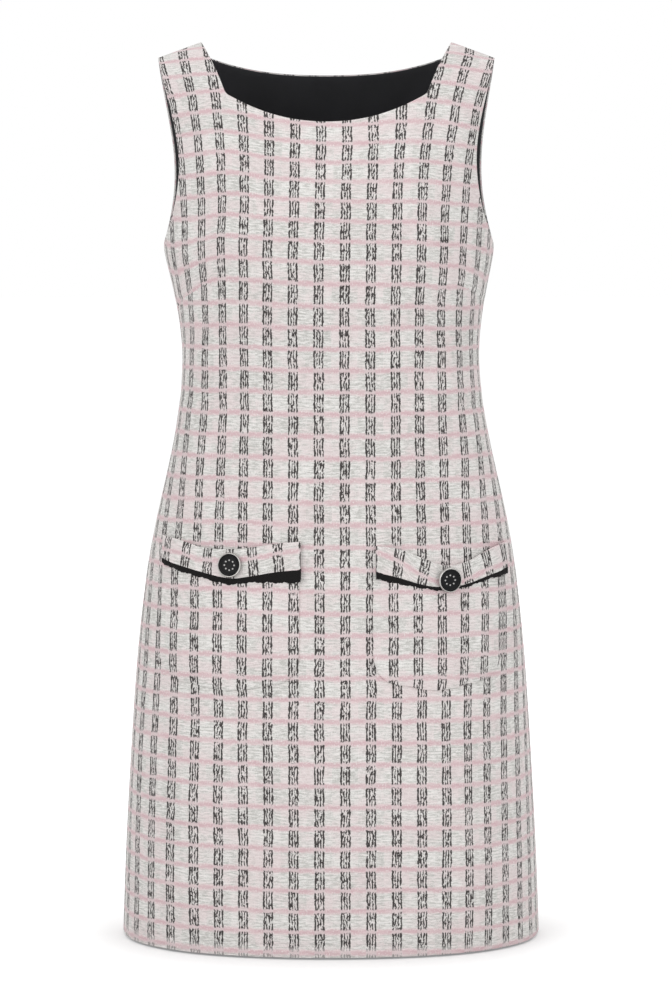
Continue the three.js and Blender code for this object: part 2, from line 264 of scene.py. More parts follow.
# How much higher the weft sits near the wearer's right and left side than at the centre, by height,
# and how strongly that acts by distance from the centre.
SETTLE_RIGHT = [(-0.62, 0.0), (-0.57, 0.0015), (-0.46, 0.0035), (-0.41, 0.0015), (-0.31, 0.0015),
                (-0.24, 0.0045), (-0.19, 0.006), (-0.15, 0.008), (-0.10, 0.012)]
SETTLE_LEFT = [(-0.73, -0.003), (-0.66, -0.003), (-0.60, 0.0), (-0.55, -0.002), (-0.51, -0.002),
               (-0.46, 0.0), (-0.29, 0.0), (-0.23, -0.005), (-0.18, -0.003), (-0.12, -0.004),
               (-0.09, -0.001)]
RIGHT_ACTS = [(0.0, 0.0), (0.045, 0.3), (0.095, 1.0), (0.14, 0.4), (0.20, 0.3)]
LEFT_ACTS = [(0.0, 0.0), (0.07, 0.15), (0.13, 1.0), (0.20, 1.0)]
# Below the pockets the cloth is pulled a little wider towards the wearer's right side seam, and a little
# narrower towards the left one.
SIDE_PULL = [(0.0, 0.0), (0.133, 0.0), (0.145, 0.002), (0.17, 0.0058), (0.195, 0.0092), (0.22, 0.0116),
             (0.30, 0.018)]
SIDE_PULL_ACTS = [(-0.68, 1.0), (-0.58, 0.0)]
SIDE_PUSH = [(0.0, 0.0), (0.125, 0.0), (0.155, 0.003), (0.30, 0.004)]
SIDE_PUSH_ACTS = [(-0.60, 1.0), (-0.56, 0.0)]
# How far the stripes fan out towards the wearer's left with the body and the straps, by height, on each
# side, and how strongly that acts by distance from the centre.
FAN_RIGHT = [(-0.47, 0.0), (-0.41, 0.003), (-0.33, 0.0045), (-0.26, 0.005), (-0.22, 0.003), (-0.145, 0.0025),
             (-0.105, 0.003), (-0.0585, 0.0), (-0.02, -0.004)]
FAN_LEFT = [(-0.24, 0.0), (-0.18, 0.0025), (-0.105, 0.0025), (-0.0585, 0.0065), (-0.02, 0.014)]
FAN_RIGHT_ACTS = [(0.0, 0.0), (0.09, 0.1), (0.115, 0.45), (0.135, 1.0)]
FAN_LEFT_ACTS = [(0.0, 0.0), (0.05, 0.1), (0.09, 0.65), (0.115, 1.0)]
# How much higher the weft sits below the neck's corners, by height and by distance from the centre.
NECK_RISE_RIGHT = [(-0.145, 0.0), (-0.12, 0.003), (-0.09, 0.006), (-0.05, 0.006)]
NECK_RISE_LEFT = [(-0.17, 0.0), (-0.14, 0.003), (-0.10, 0.0045), (-0.05, 0.0055)]
RISE_RIGHT_ACTS = [(0.06, 0.0), (0.085, 0.4), (0.105, 0.7), (0.135, 1.0), (0.17, 0.5)]
RISE_LEFT_ACTS = [(0.03, 0.0), (0.05, 0.3), (0.08, 0.9), (0.10, 1.0), (0.125, 0.4), (0.15, -0.5), (0.17, -0.8)]


def read_table(table, values):
    """The value of a short table of pairs at each place, straight between its entries."""
    places, amounts = zip(*sorted(table))
    return np.interp(values, places, amounts)


def columns_of(row, width):
    """The grid columns that a row's points belong to: all of them, or the two straps' own."""
    if len(row) == width:
        return list(range(width))
    return list(range(STRAP_POINTS)) + list(range(width - STRAP_POINTS, width))


def cloth_places(rows, worn):
    """For each row of a panel, the (across, up) places of its points on the flat cloth."""
    width = len(rows[0])
    middle = width // 2
    body = np.array([row for row in rows if len(row) == width])
    lean = np.gradient(body, axis=0)
    lean = (lean[:, 1:] + lean[:, :-1]) / 2
    step = np.diff(body, axis=1)
    level = step - lean * (step[..., 2] / lean[..., 2])[..., None]
    across = np.zeros(body.shape[:2])
    across[:, 1:] = np.cumsum(np.linalg.norm(level, axis=2), axis=1)
    across -= across[:, middle:middle + 1]
    centre = body[:, middle]
    climb = np.concatenate([[0], np.cumsum(np.linalg.norm(np.diff(centre, axis=0), axis=1))])
    height = body[..., 2]
    up = np.interp(height, centre[:, 2], climb) + np.maximum(height - centre[-1, 2], 0)
    if worn:
        up = up - read_table(WEFT_EASE, height)
        from_centre = np.abs(across)
        right, left = across < 0, across >= 0
        for side, table, acts in ((right, SETTLE_RIGHT, RIGHT_ACTS), (left, SETTLE_LEFT, LEFT_ACTS),
                                  (right, NECK_RISE_RIGHT, RISE_RIGHT_ACTS), (left, NECK_RISE_LEFT, RISE_LEFT_ACTS)):
            up = up - side * read_table(acts, from_centre) * read_table(table, height)
        pull = right * read_table(SIDE_PULL, from_centre) * read_table(SIDE_PULL_ACTS, height)
        pull += left * read_table(SIDE_PUSH, from_centre) * read_table(SIDE_PUSH_ACTS, height)
        fan = right * read_table(FAN_RIGHT_ACTS, from_centre) * read_table(FAN_RIGHT, height)
        fan += left * read_table(FAN_LEFT_ACTS, from_centre) * read_table(FAN_LEFT, height)
        across = across - read_table(STRIPE_LEAN, height) + pull - fan
    places = [list(zip(across[i], up[i])) for i in range(len(body))]
    for row, below in zip(rows[len(body):], rows[len(body) - 1:]):
        columns = columns_of(row, width)
        before = dict(zip(columns_of(below, width), zip(below, places[-1])))
        foot = [body[-1, 0, 2], body[-1, -1, 2]]
        here = []
        for index, (column, point) in enumerate(zip(columns, row)):
            right_strap = index < STRAP_POINTS
            edge = 0 if right_strap else len(row) - 1
            edge_across = across[-1, 0] if right_strap else across[-1, -1]
            from_edge = (Vector(point) - Vector(row[edge])).length
            fan = FAN_RIGHT if right_strap else FAN_LEFT
            spread = read_table(fan, point[2]) - read_table(fan, foot[0 if right_strap else 1])
            old_point, old_place = before[column]
            here.append((edge_across + from_edge * (1 if right_strap else -1) - worn * spread,
                         old_place[1] + (Vector(point) - Vector(old_point)).length))
        places.append(here)
    return places


front_places = cloth_places(front_rows, worn=True)
back_places = cloth_places(back_rows, worn=False)
print("front hem is cut", round(front_places[0][-1][0] - front_places[0][0][0], 3), "m wide")
print("front strap ends", round(front_places[-1][0][1], 3), "m up the cloth")

# %% [markdown]
# ## Cloth shells
# A coarse cage of square faces with a smooth subdivision on top gives cloth that bends evenly, and the
# map of the weave is subdivided with it. The thickness comes last, from Solidify, and a narrow bevel
# turns the cut edge into the soft fold that a turned-in seam allowance leaves.

# %% Shell tools
NECK_CORNER_FIRM = 0.45


def select_only(piece):
    """Makes one piece the active and only selected one."""
    bpy.ops.object.select_all(action="DESELECT")
    piece.select_set(True)
    bpy.context.view_layer.objects.active = piece


def apply_modifier(piece, kind, **settings):
    """Adds one modifier with its settings and applies it."""
    select_only(piece)
    modifier = piece.modifiers.new(kind.lower(), kind)
    for name, value in settings.items():
        setattr(modifier, name, value)
    bpy.ops.object.modifier_apply(modifier=modifier.name)


def mesh_piece(name, points, faces, places):
    """A new piece from points, faces and one (across, up) place for each point."""
    mesh = bpy.data.meshes.new(name)
    mesh.from_pydata(points, [], faces)
    layer = mesh.uv_layers.new(name="cloth")
    for loop in mesh.loops:
        layer.data[loop.index].uv = places[loop.vertex_index]
    piece = bpy.data.objects.new(name, mesh)
    bpy.context.collection.objects.link(piece)
    return piece


def cage(name, rows, places, outward_y):
    """A panel's coarse cage of square faces, facing outward."""
    width = len(rows[0])
    number, points, flat = {}, [], []
    for r, row in enumerate(rows):
        for column, point, place in zip(columns_of(row, width), row, places[r]):
            number[r, column] = len(points)
            points.append(point)
            flat.append(place)
    faces = []
    for r in range(len(rows) - 1):
        for c in range(width - 1):
            corners = [(r, c), (r, c + 1), (r + 1, c + 1), (r + 1, c)]
            if c + 1 < STRAP_POINTS or c >= width - STRAP_POINTS or len(rows[r + 1]) == width:
                if all(corner in number for corner in corners):
                    face = [number[corner] for corner in corners]
                    faces.append(face if outward_y < 0 else face[::-1])
    piece = mesh_piece(name, points, faces, flat)
    neck_row = max(r for r, row in enumerate(rows) if len(row) == width)
    firm_corners = piece.data.attributes.new("crease_vert", "FLOAT", "POINT")
    for column in (STRAP_POINTS - 1, width - STRAP_POINTS):
        firm_corners.data[number[neck_row, column]].value = NECK_CORNER_FIRM
    return piece


def thicken(piece, thickness, fold, rim=0):
    """Gives a shell its cloth thickness inwards, and folds its cut edges over. Their finish may differ."""
    apply_modifier(piece, "SOLIDIFY", thickness=thickness, offset=-1, use_even_offset=True,
                   material_offset_rim=rim)
    apply_modifier(piece, "BEVEL", width=fold, segments=2, limit_method="ANGLE",
                   angle_limit=math.radians(50))
    select_only(piece)
    bpy.ops.object.shade_smooth()


# %% [markdown]
# ## Soft creases
# A worn tweed dress isn't a smooth cone. Long shallow folds fall from the bust and the hips, short ones
# cross the waist, and the cloth is a little full beside the darts. Each is a low ridge or trough between
# two points, at its own width and height. The wall of the lining moves with the tweed outside it.

# %% Creases
# One line each: start x, z, end x, z, half width, height out of the cloth, all in metres.
FRONT_CREASES = [
    (-0.118, -0.250, -0.128, -0.440, 0.016, 0.0022),
    (-0.085, -0.270, -0.092, -0.400, 0.012, -0.0016),
    (0.112, -0.255, 0.124, -0.420, 0.016, 0.0020),
    (0.078, -0.280, 0.084, -0.420, 0.012, -0.0014),
    (-0.150, -0.330, -0.095, -0.352, 0.009, -0.0012),
    (0.148, -0.338, 0.100, -0.356, 0.009, -0.0012),
    (-0.012, -0.620, -0.018, -0.850, 0.026, 0.0026),
    (0.036, -0.600, 0.044, -0.850, 0.022, -0.0022),
    (-0.060, -0.640, -0.072, -0.850, 0.022, -0.0020),
    (-0.122, -0.650, -0.138, -0.850, 0.024, 0.0024),
    (0.110, -0.640, 0.128, -0.850, 0.026, 0.0024),
    (-0.075, -0.120, -0.100, -0.200, 0.014, 0.0012),
    (0.082, -0.125, 0.104, -0.200, 0.014, 0.0012),
]
BACK_CREASES = [
    (-0.100, -0.240, -0.112, -0.420, 0.018, 0.0020),
    (0.104, -0.250, 0.112, -0.430, 0.018, 0.0022),
    (-0.040, -0.330, 0.045, -0.338, 0.010, -0.0014),
    (-0.055, -0.356, 0.030, -0.366, 0.009, 0.0012),
    (0.020, -0.560, 0.026, -0.850, 0.026, -0.0024),
    (-0.030, -0.600, -0.042, -0.850, 0.024, 0.0024),
    (0.084, -0.600, 0.104, -0.850, 0.024, 0.0022),
    (-0.106, -0.590, -0.126, -0.850, 0.024, -0.0022),
    (-0.070, -0.090, -0.095, -0.190, 0.014, 0.0012),
    (0.070, -0.095, 0.098, -0.195, 0.014, 0.0012),
]


def crease_height(points, creases):
    """How far each point moves out of the cloth for all creases together."""
    total = np.zeros(len(points))
    for x0, z0, x1, z1, half, height in creases:
        along = np.array([x1 - x0, z1 - z0])
        length = np.hypot(*along)
        along = along / length
        offset = points[:, [0, 2]] - np.array([x0, z0])
        run = offset @ along
        aside = offset @ np.array([-along[1], along[0]])
        sway = 0.35 * half * np.sin(run / length * 5 + x0 * 90)
        ends = np.clip(run / (0.25 * length), 0, 1) * np.clip((length - run) / (0.25 * length) + 0.35, 0, 1)
        total += height * np.exp(-((aside - sway) / half) ** 2) * ends ** 1.5
    return total


def read_points(mesh):
    points = np.empty(len(mesh.vertices) * 3)
    mesh.vertices.foreach_get("co", points)
    return points.reshape(-1, 3)


def read_normals(mesh):
    normals = np.empty(len(mesh.vertices) * 3)
    mesh.vertices.foreach_get("normal", normals)
    return normals.reshape(-1, 3)


def move_points(piece, points):
    """Writes new places for all points of a piece."""
    piece.data.vertices.foreach_set("co", points.ravel())
    piece.data.update()


def crease(piece, creases):
    points = read_points(piece.data)
    height = crease_height(points, creases)
    move_points(piece, points + read_normals(piece.data) * height[:, None])
    return float(np.abs(height).max())


TWEED_THICK = 1.8 * MM
LINING_THICK = 1.0 * MM
tweed_front = cage("tweed_front", front_rows, front_places, -1)
tweed_back = cage("tweed_back", back_rows, back_places, 1)
for piece, creases in ((tweed_front, FRONT_CREASES), (tweed_back, BACK_CREASES)):
    apply_modifier(piece, "SUBSURF", levels=3, render_levels=3, boundary_smooth="PRESERVE_CORNERS")
    print(piece.name, "has", len(piece.data.polygons), "faces, deepest crease",
          round(crease(piece, creases) / MM, 1), "mm")

# %% [markdown]
# ## Bust darts
# A dart is a fold sewn from the side seam towards the bust. It shows as a short slanting line where the
# checks above and below no longer meet. The nearest points are moved onto the line and sunk a little,
# and above the line the map of the weave slides down towards the side, as the sewn-away cloth makes it.

# %% Darts
# Each dart as its path in x-z terms of the flat cloth: (across, height), from its tip to the side seam.
DARTS = [
    {"path": [(-0.119, -0.228), (-0.133, -0.231), (-0.150, -0.2386), (-0.178, -0.246), (-0.23, -0.258)],
     "taken": 0.019},
    {"path": [(0.126, -0.231), (0.150, -0.237), (0.186, -0.246), (0.24, -0.256)], "taken": 0.017},
]
DART_REACH = 1.9 * MM
DART_SUNK = 1.3 * MM
DART_WIDE = 3.2 * MM
DART_FADES = 0.075


def dart_line(dart, across):
    """The height of the dart line at each place across, and how far along it that is, from 0 to 1."""
    path = sorted((abs(a), z) for a, z in dart["path"])
    places, heights = zip(*path)
    side = math.copysign(1, dart["path"][0][0])
    reach = np.abs(across) * (across * side > 0)
    share = np.clip((reach - places[0]) / (places[-2] - places[0]), 0, 1)
    return np.interp(reach, places, heights), share, reach > places[0]


def sew_dart(piece, dart):
    """Sinks the cloth along a dart and slides the weave above it. Gives the number of faces that slid."""
    mesh = piece.data
    layer = mesh.uv_layers["cloth"]
    uv = np.empty(len(mesh.loops) * 2)
    layer.data.foreach_get("uv", uv)
    uv = uv.reshape(-1, 2)
    corner = np.empty(len(mesh.loops), dtype=np.int64)
    mesh.loops.foreach_get("vertex_index", corner)
    across = np.zeros(len(mesh.vertices))
    across[corner] = uv[:, 0]
    points = read_points(mesh)
    line, share, on_side = dart_line(dart, across)
    above = points[:, 2] - line
    near = on_side & (np.abs(above) < DART_REACH)
    uv[:, 1] -= (near * above)[corner]
    points[:, 2] -= near * above
    above = points[:, 2] - line
    sunk = DART_SUNK * np.sqrt(share) * np.exp(-(above / DART_WIDE) ** 2)
    points -= read_normals(mesh) * sunk[:, None]
    middle = np.zeros(len(mesh.polygons) * 3)
    mesh.polygons.foreach_get("center", middle)
    middle = middle.reshape(-1, 3)
    slid = 0
    for face in mesh.polygons:
        loops = list(face.loop_indices)
        where = uv[loops, 0].mean()
        height, _, there = dart_line(dart, np.array([where]))
        if there[0] and middle[face.index, 2] > height[0]:
            for loop in loops:
                vertex = corner[loop]
                rise = max(0.0, 1 - max(above[vertex], 0) / DART_FADES)
                uv[loop, 1] += dart["taken"] * share[vertex] ** 1.2 * rise
            slid += 1
    layer.data.foreach_set("uv", uv.ravel())
    move_points(piece, points)
    return slid


for dart in DARTS:
    print("dart slid the weave on", sew_dart(tweed_front, dart), "faces")

# %% [markdown]
# ## The front as something to lay pieces on
# Pockets, flaps and braid lie on the front, so each of their points is found by looking straight back at
# it. The hit gives the place, the direction out of the cloth, and the place in the weave there.

# %% Laying tools
class Ground:
    """The outer skin of the front before it gets its thickness, ready to be looked at from in front."""

    def __init__(self, piece):
        mesh = piece.data
        mesh.calc_loop_triangles()
        self.points = read_points(mesh)
        self.normals = read_normals(mesh)
        self.triangles = np.array([t.vertices[:] for t in mesh.loop_triangles])
        self.loops = np.array([t.loops[:] for t in mesh.loop_triangles])
        uv = np.empty(len(mesh.loops) * 2)
        mesh.uv_layers["cloth"].data.foreach_get("uv", uv)
        self.places = uv.reshape(-1, 2)
        self.tree = BVHTree.FromPolygons(self.points.tolist(), self.triangles.tolist())

    def at(self, x, z):
        """The point, the outward direction and the cloth place of the front at x, z."""
        hit, _, index, _ = self.tree.ray_cast(Vector((x, -1, z)), Vector((0, 1, 0)))
        corners = self.triangles[index]
        a, b, c = self.points[corners]
        solve = np.linalg.lstsq(np.stack([a, b, c], axis=1), np.array(hit), rcond=None)[0]
        weights = solve / solve.sum()
        normal = weights @ self.normals[corners]
        return np.array(hit), normal / np.linalg.norm(normal), weights @ self.places[self.loops[index]]


ground = Ground(tweed_front)
hit, out, place = ground.at(0.0, -0.5)
print("front at the middle:", np.round(hit, 3), "weave place", np.round(place, 3))


def upright_span(node, x):
    """The lowest and highest z at which an upright plane at x cuts a node of the model."""
    mesh = nodes[node].data
    points = read_points(mesh)
    ends = np.array([edge.vertices[:] for edge in mesh.edges])
    a, b = points[ends[:, 0]], points[ends[:, 1]]
    crossed = (a[:, 0] - x) * (b[:, 0] - x) < 0
    a, b = a[crossed], b[crossed]
    share = (x - a[:, 0]) / (b[:, 0] - a[:, 0])
    z = a[:, 2] + share * (b[:, 2] - a[:, 2])
    return float(z.min()), float(z.max())


def node_columns(node, count):
    """Upright cuts through a node, closer together towards its ends: x, bottom and top of each."""
    low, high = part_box(node)
    middle, half = (low.x + high.x) / 2, (high.x - low.x) / 2 - 0.15 * MM
    columns = [middle - half * math.cos(math.pi * i / count) for i in range(count + 1)]
    return [(x, *upright_span(node, x)) for x in columns]


def lifted(x, z, rise):
    """The point that stands off the front by rise and is seen at x, z, with its place in the weave."""
    hit, out, place = ground.at(x, z)
    for _ in range(3):
        hit, out, place = ground.at(x - out[0] * rise, z - out[2] * rise)
    return hit + out * rise, place


def laid_piece(name, columns, upward, lift, weave, thickness, fold):
    """A piece that fills its columns, laid on the front at its own lift, with its own place in the weave."""
    first, last = columns[0][0], columns[-1][0]
    points, places = [], []
    for x, bottom, top in columns:
        for j in range(upward + 1):
            z = bottom + (top - bottom) * j / upward
            edge = {"side": min(x - first, last - x), "bottom": z - bottom, "top": top - z}
            point, place = lifted(x, z, lift(x, z, edge, j / upward))
            points.append(point)
            places.append(weave(x, z, edge, place))
    faces = []
    for i in range(len(columns) - 1):
        for j in range(upward):
            a = i * (upward + 1) + j
            b = a + upward + 1
            faces.append([a, b, b + 1, a + 1])
    piece = mesh_piece(name, [tuple(p) for p in points], faces, places)
    thicken(piece, thickness, fold)
    return piece


# %% [markdown]
# ## Patch pockets
# A patch pocket is sewn down along its sides and its round bottom and is free along the top, which the
# flap covers. It is a little full in the middle and flat along its sewn edge. Its checks are matched to
# the front, so it takes its place in the weave from the cloth behind it.

# %% Pockets
POCKET_LIFT = 2.1 * MM
POCKET_FULL = 1.3 * MM
SEWN_WIDE = 7 * MM


def pocket_lift(x, z, edge, share):
    sewn = min(edge["side"], edge["bottom"])
    return POCKET_LIFT - 0.5 * MM + (POCKET_FULL + 0.5 * MM) * (1 - math.exp(-sewn / SEWN_WIDE))


# The left pocket's stripes sit nearer to the centre than those behind it, most at its outer side.
POCKET_SLIDE = {"right": (0.0, 0.0), "left": (0.003, 0.004)}


def pocket_weave(side):
    """The weave of a pocket, slid from the front's by an inner and an extra outer amount."""
    low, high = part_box(f"pocket_{side}")
    inner, extra = POCKET_SLIDE[side]

    def weave(x, z, edge, place):
        outward = (abs(x) - min(abs(low.x), abs(high.x))) / (high.x - low.x)
        return (place[0] + math.copysign(inner + extra * outward, x), place[1])
    return weave


TUCKED_UNDER = 7 * MM


def pocket_columns(side):
    """The columns of a pocket, whose top follows the flap's top edge and stays hidden under it."""
    low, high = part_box(f"flap_{side}")
    columns = []
    for x, bottom, _ in node_columns(f"pocket_{side}", 72):
        _, flap_top = upright_span(f"flap_{side}", min(max(x, low.x + 1 * MM), high.x - 1 * MM))
        columns.append((x, bottom, flap_top - TUCKED_UNDER))
    return columns


pockets = {}
for side in ("right", "left"):
    pockets[side] = laid_piece(f"patch_pocket_{side}", pocket_columns(side), 60, pocket_lift, pocket_weave(side),
                               TWEED_THICK, 0.7 * MM)
    print(pockets[side].name, len(pockets[side].data.polygons), "faces")

# %% [markdown]
# ## Pocket flaps
# Each flap is a soft double strip that is held down by its button and stands a little away from the
# pocket on both sides of it. Its weft follows its own upper edge, and its stripes don't all meet the
# stripes below.

# %% Flaps
FIRST_LINE = 5.0
FLAP_LIFT = 4.6 * MM
FLAP_THICK = 2.2 * MM
FLAP_FULL = 1.7 * MM
BUTTON_HOLD = 17 * MM
STRIPE_SHEAR = 0.5

# How far a flap's stripes are slid against those behind it, and how far down from its top edge its pink weft
# runs, from the inner to the outer end, both in millimetres.
FLAP_WEAVE = {
    "right": [
        {"out": 28, "slide": 10.5, "weft": 8.5},
        {"out": 62, "slide": 10.5, "weft": 9.5},
        {"out": 80, "slide": 11.0, "weft": 10.0},
        {"out": 105, "slide": 14.5, "weft": 10.5},
        {"out": 135, "slide": 15.0, "weft": 12.0},
        {"out": 160, "slide": 15.0, "weft": 12.5},
    ],
    "left": [
        {"out": 42, "slide": 1.0, "weft": 5.0},
        {"out": 60, "slide": 1.0, "weft": 10.0},
        {"out": 78, "slide": 0.5, "weft": 15.5},
        {"out": 105, "slide": -2.0, "weft": 17.0},
        {"out": 130, "slide": -2.5, "weft": 16.5},
        {"out": 168, "slide": -2.5, "weft": 20.0},
    ],
}


def button_centre(side):
    low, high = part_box(f"button_{side}")
    return (low.x + high.x) / 2, (low.z + high.z) / 2


def flap_wave(side, x, z):
    """How far the flap stands away at a place: nothing under its button, and uneven soft waves."""
    bx, bz = button_centre(side)
    away = 1 - math.exp(-(((x - bx) / BUTTON_HOLD) ** 2 + ((z - bz) / BUTTON_HOLD) ** 2))
    wave = 0.6 + 0.4 * math.sin((x - bx) * 95 + (1.1 if side == "right" else 2.4))
    return FLAP_FULL * away * wave


def flap_lift(side):
    def lift(x, z, edge, share):
        ends = 1 - math.exp(-(edge["side"] + 1.5 * MM) / (6 * MM))
        sewn = 1 - math.exp(-(edge["top"] + 0.5 * MM) / (3 * MM))
        return FLAP_LIFT - 0.8 * MM + 0.8 * MM * sewn * ends + flap_wave(side, x, z) * ends * sewn
    return lift


def flap_weave(side, columns):
    """The weave of a flap: its weft follows its top edge, and its stripes lean as that edge slopes."""
    table = FLAP_WEAVE[side]
    outs = [row["out"] for row in table]
    slopes = np.gradient([top for _, _, top in columns], [x for x, _, _ in columns])

    def weave(x, z, edge, place):
        slide = np.interp(abs(x) / MM, outs, [row["slide"] for row in table]) * MM
        weft = np.interp(abs(x) / MM, outs, [row["weft"] for row in table]) * MM
        slope = np.interp(x, [x for x, _, _ in columns], slopes)
        lean = STRIPE_SHEAR * slope * (edge["top"] - weft)
        return (place[0] - slide - lean, FIRST_LINE * MM + weft - edge["top"])
    return weave


flaps = {}
for side in ("right", "left"):
    columns = node_columns(f"flap_{side}", 72)
    flaps[side] = laid_piece(f"pocket_flap_{side}", columns, 14, flap_lift(side), flap_weave(side, columns),
                             FLAP_THICK, 0.8 * MM)
    print(flaps[side].name, len(flaps[side].data.polygons), "faces")

# %% [markdown]
# ## Braid under the flaps
# A matt black braid is caught under the lower edge of each flap. It is round on the outside and a bit
# uneven, so its lift rises and falls along it.

# %% Braid
BRAID_LIFT = 4.4 * MM


BRAID_TUCK = 1.5 * MM


def braid_columns(side):
    """The columns of a braid, tucked a little up under the flap, with a softly uneven lower edge."""
    columns = []
    for x, bottom, top in node_columns(f"flap_trim_{side}", 200):
        uneven = 0.45 * math.sin(x * 420 + 1) + 0.3 * math.sin(x * 1130) + 0.2 * math.sin(x * 2300 + 2)
        columns.append((x, bottom + uneven * MM, top + BRAID_TUCK))
    return columns


def braid_lift(side):
    def lift(x, z, edge, share):
        rounded = math.sqrt(max(0.0, 1 - (2 * share - 1) ** 2))
        lumps = 0.3 * MM * math.sin(x * 1100) * math.sin(x * 413 + 1)
        return BRAID_LIFT - 1.5 * MM + 1.8 * MM * rounded + flap_wave(side, x, z) * 0.9 + lumps
    return lift


def braid_weave(x, z, edge, place):
    return (x, edge["bottom"])


braids = {}
for side in ("right", "left"):
    braids[side] = laid_piece(f"flap_braid_{side}", braid_columns(side), 6, braid_lift(side), braid_weave,
                              1.4 * MM, 0.4 * MM)
    print(braids[side].name, len(braids[side].data.polygons), "faces")

# %% [markdown]
# ## Thickness of the front and back
# Only now do the two tweed panels get their thickness, because everything above looked at their outer
# skin. On the back the lining is rolled over the edge of the neck and the armholes, so the rim there has
# a place of its own for a second finish, but not at the shoulder seams, where the rim looks forward. The
# linings are made in the same way from their own walls.

# %% Tweed and lining walls
BOUND_ABOVE = -0.19
SEAM_FACES = -0.6
thicken(tweed_front, TWEED_THICK, 0.6 * MM)
for _ in ("cloth", "edge"):
    tweed_back.data.materials.append(None)
thicken(tweed_back, TWEED_THICK, 0.6 * MM, rim=1)
bound = 0
for face in tweed_back.data.polygons:
    if face.center.z < BOUND_ABOVE or face.normal.y < SEAM_FACES:
        face.material_index = 0
    bound += face.material_index
print(bound, "faces of the back's edge are bound with lining")
linings = {}
for side, outward_y, creases in (("front", -1, FRONT_CREASES), ("back", 1, BACK_CREASES)):
    rows = panel_grid(f"lining_{side}", outward_y)
    places = cloth_places(rows, worn=False)
    lining = cage(f"satin_{side}", rows, places, outward_y)
    apply_modifier(lining, "SUBSURF", levels=2, render_levels=2, boundary_smooth="PRESERVE_CORNERS")
    crease(lining, creases)
    thicken(lining, LINING_THICK, 0.3 * MM)
    linings[side] = lining
    print(lining.name, len(lining.data.polygons), "faces")

# %% [markdown]
# ## Node helpers
# The finishes are made of many small sums. Three short helpers keep them readable: one for a sum, one
# for a soft step between two values, and one that mixes two colours.

# %% Helpers for finishes
def tone(red, green, blue):
    """A colour as a screen shows it, from 0 to 255, in the linear numbers that a shader needs."""
    linear = [((c / 255 + 0.055) / 1.055) ** 2.4 if c > 10 else c / 255 / 12.92 for c in (red, green, blue)]
    return (*linear, 1)


def put(tree, socket, value):
    """Puts a number, a colour or another node's output into a socket."""
    if isinstance(value, bpy.types.NodeSocket):
        tree.links.new(value, socket)
    else:
        socket.default_value = value


def calc(tree, operation, *values):
    node = tree.nodes.new("ShaderNodeMath")
    node.operation = operation
    for socket, value in zip(node.inputs, values):
        put(tree, socket, value)
    return node.outputs[0]


def soft_step(tree, value, start, end):
    """0 at start, 1 at end, with a smooth turn between."""
    node = tree.nodes.new("ShaderNodeMapRange")
    node.interpolation_type = "SMOOTHSTEP"
    put(tree, node.inputs["Value"], value)
    node.inputs["From Min"].default_value = start
    node.inputs["From Max"].default_value = end
    return node.outputs[0]


def blend_colours(tree, share, first, second, kind="MIX"):
    node = tree.nodes.new("ShaderNodeMix")
    node.data_type = "RGBA"
    node.blend_type = kind
    put(tree, node.inputs[0], share)
    put(tree, node.inputs[6], first)
    put(tree, node.inputs[7], second)
    return node.outputs[2]


def place_vector(tree, across, up, third=0.0):
    node = tree.nodes.new("ShaderNodeCombineXYZ")
    for socket, value in zip(node.inputs, (across, up, third)):
        put(tree, socket, value)
    return node.outputs[0]


def grain(tree, across, up, wide, tall, detail=2.0, third=0.0):
    """Soft noise whose grains are about so wide and tall, in millimetres, around 0.5."""
    node = tree.nodes.new("ShaderNodeTexNoise")
    vector = place_vector(tree, calc(tree, "DIVIDE", across, wide), calc(tree, "DIVIDE", up, tall), third)
    tree.links.new(vector, node.inputs["Vector"])
    node.inputs["Scale"].default_value = 1
    node.inputs["Detail"].default_value = detail
    return node.outputs[0]


def chance(tree, across, up, third=0.0):
    """A random number from 0 to 1 for each whole cell."""
    node = tree.nodes.new("ShaderNodeTexWhiteNoise")
    vector = place_vector(tree, calc(tree, "FLOOR", across), calc(tree, "FLOOR", up), third)
    tree.links.new(vector, node.inputs["Vector"])
    return node.outputs[0]


def new_group(name, inputs, outputs):
    """An empty shader group with named sockets. Gives the group, its inputs and its output node."""
    group = bpy.data.node_groups.new(name, "ShaderNodeTree")
    for kind, label, value in inputs:
        made = group.interface.new_socket(label, in_out="INPUT", socket_type=kind)
        if value is not None:
            made.default_value = value
    for kind, label in outputs:
        group.interface.new_socket(label, in_out="OUTPUT", socket_type=kind)
    given = group.nodes.new("NodeGroupInput")
    result = group.nodes.new("NodeGroupOutput")
    return group, given.outputs, result.inputs


# %% [markdown]
# ## Checked tweed
# The cloth has three things to draw. The ground is off-white with fine level ribs and slubs. Every 20 mm
# a soft pink weft yarn crosses it. Every 24.2 mm a black stripe runs up it, made of two firm outer yarns
# and loose ones between, broken into short dashes that leave the pink yarn clear. All of it is uneven,
# since the yarns are lumpy, so noise bends each line and opens gaps. The group reads the place on the
# flat cloth, so the same group dresses the panels, the pockets and the flaps.

# %% Tweed group
STRIPE_PITCH = 24.2
WEFT_PITCH = 20.0
STRAND_PITCH = 2.5
LEFT_YARN = -3.8
RIGHT_YARN = 4.0

tweed_weave, given, result = new_group(
    "tweed_weave",
    [("NodeSocketVector", "Cloth", None), ("NodeSocketFloat", "Hem", 0.0)],
    [("NodeSocketColor", "Color"), ("NodeSocketFloat", "Height"), ("NodeSocketFloat", "Roughness")],
)
t = tweed_weave
split = t.nodes.new("ShaderNodeSeparateXYZ")
t.links.new(given["Cloth"], split.inputs[0])
across = calc(t, "MULTIPLY", split.outputs[0], 1000)
up = calc(t, "MULTIPLY", split.outputs[1], 1000)


def bent(value, amount, noise):
    """A place moved to and fro by a noise around 0.5."""
    return calc(t, "ADD", value, calc(t, "MULTIPLY", calc(t, "SUBTRACT", noise, 0.5), amount))


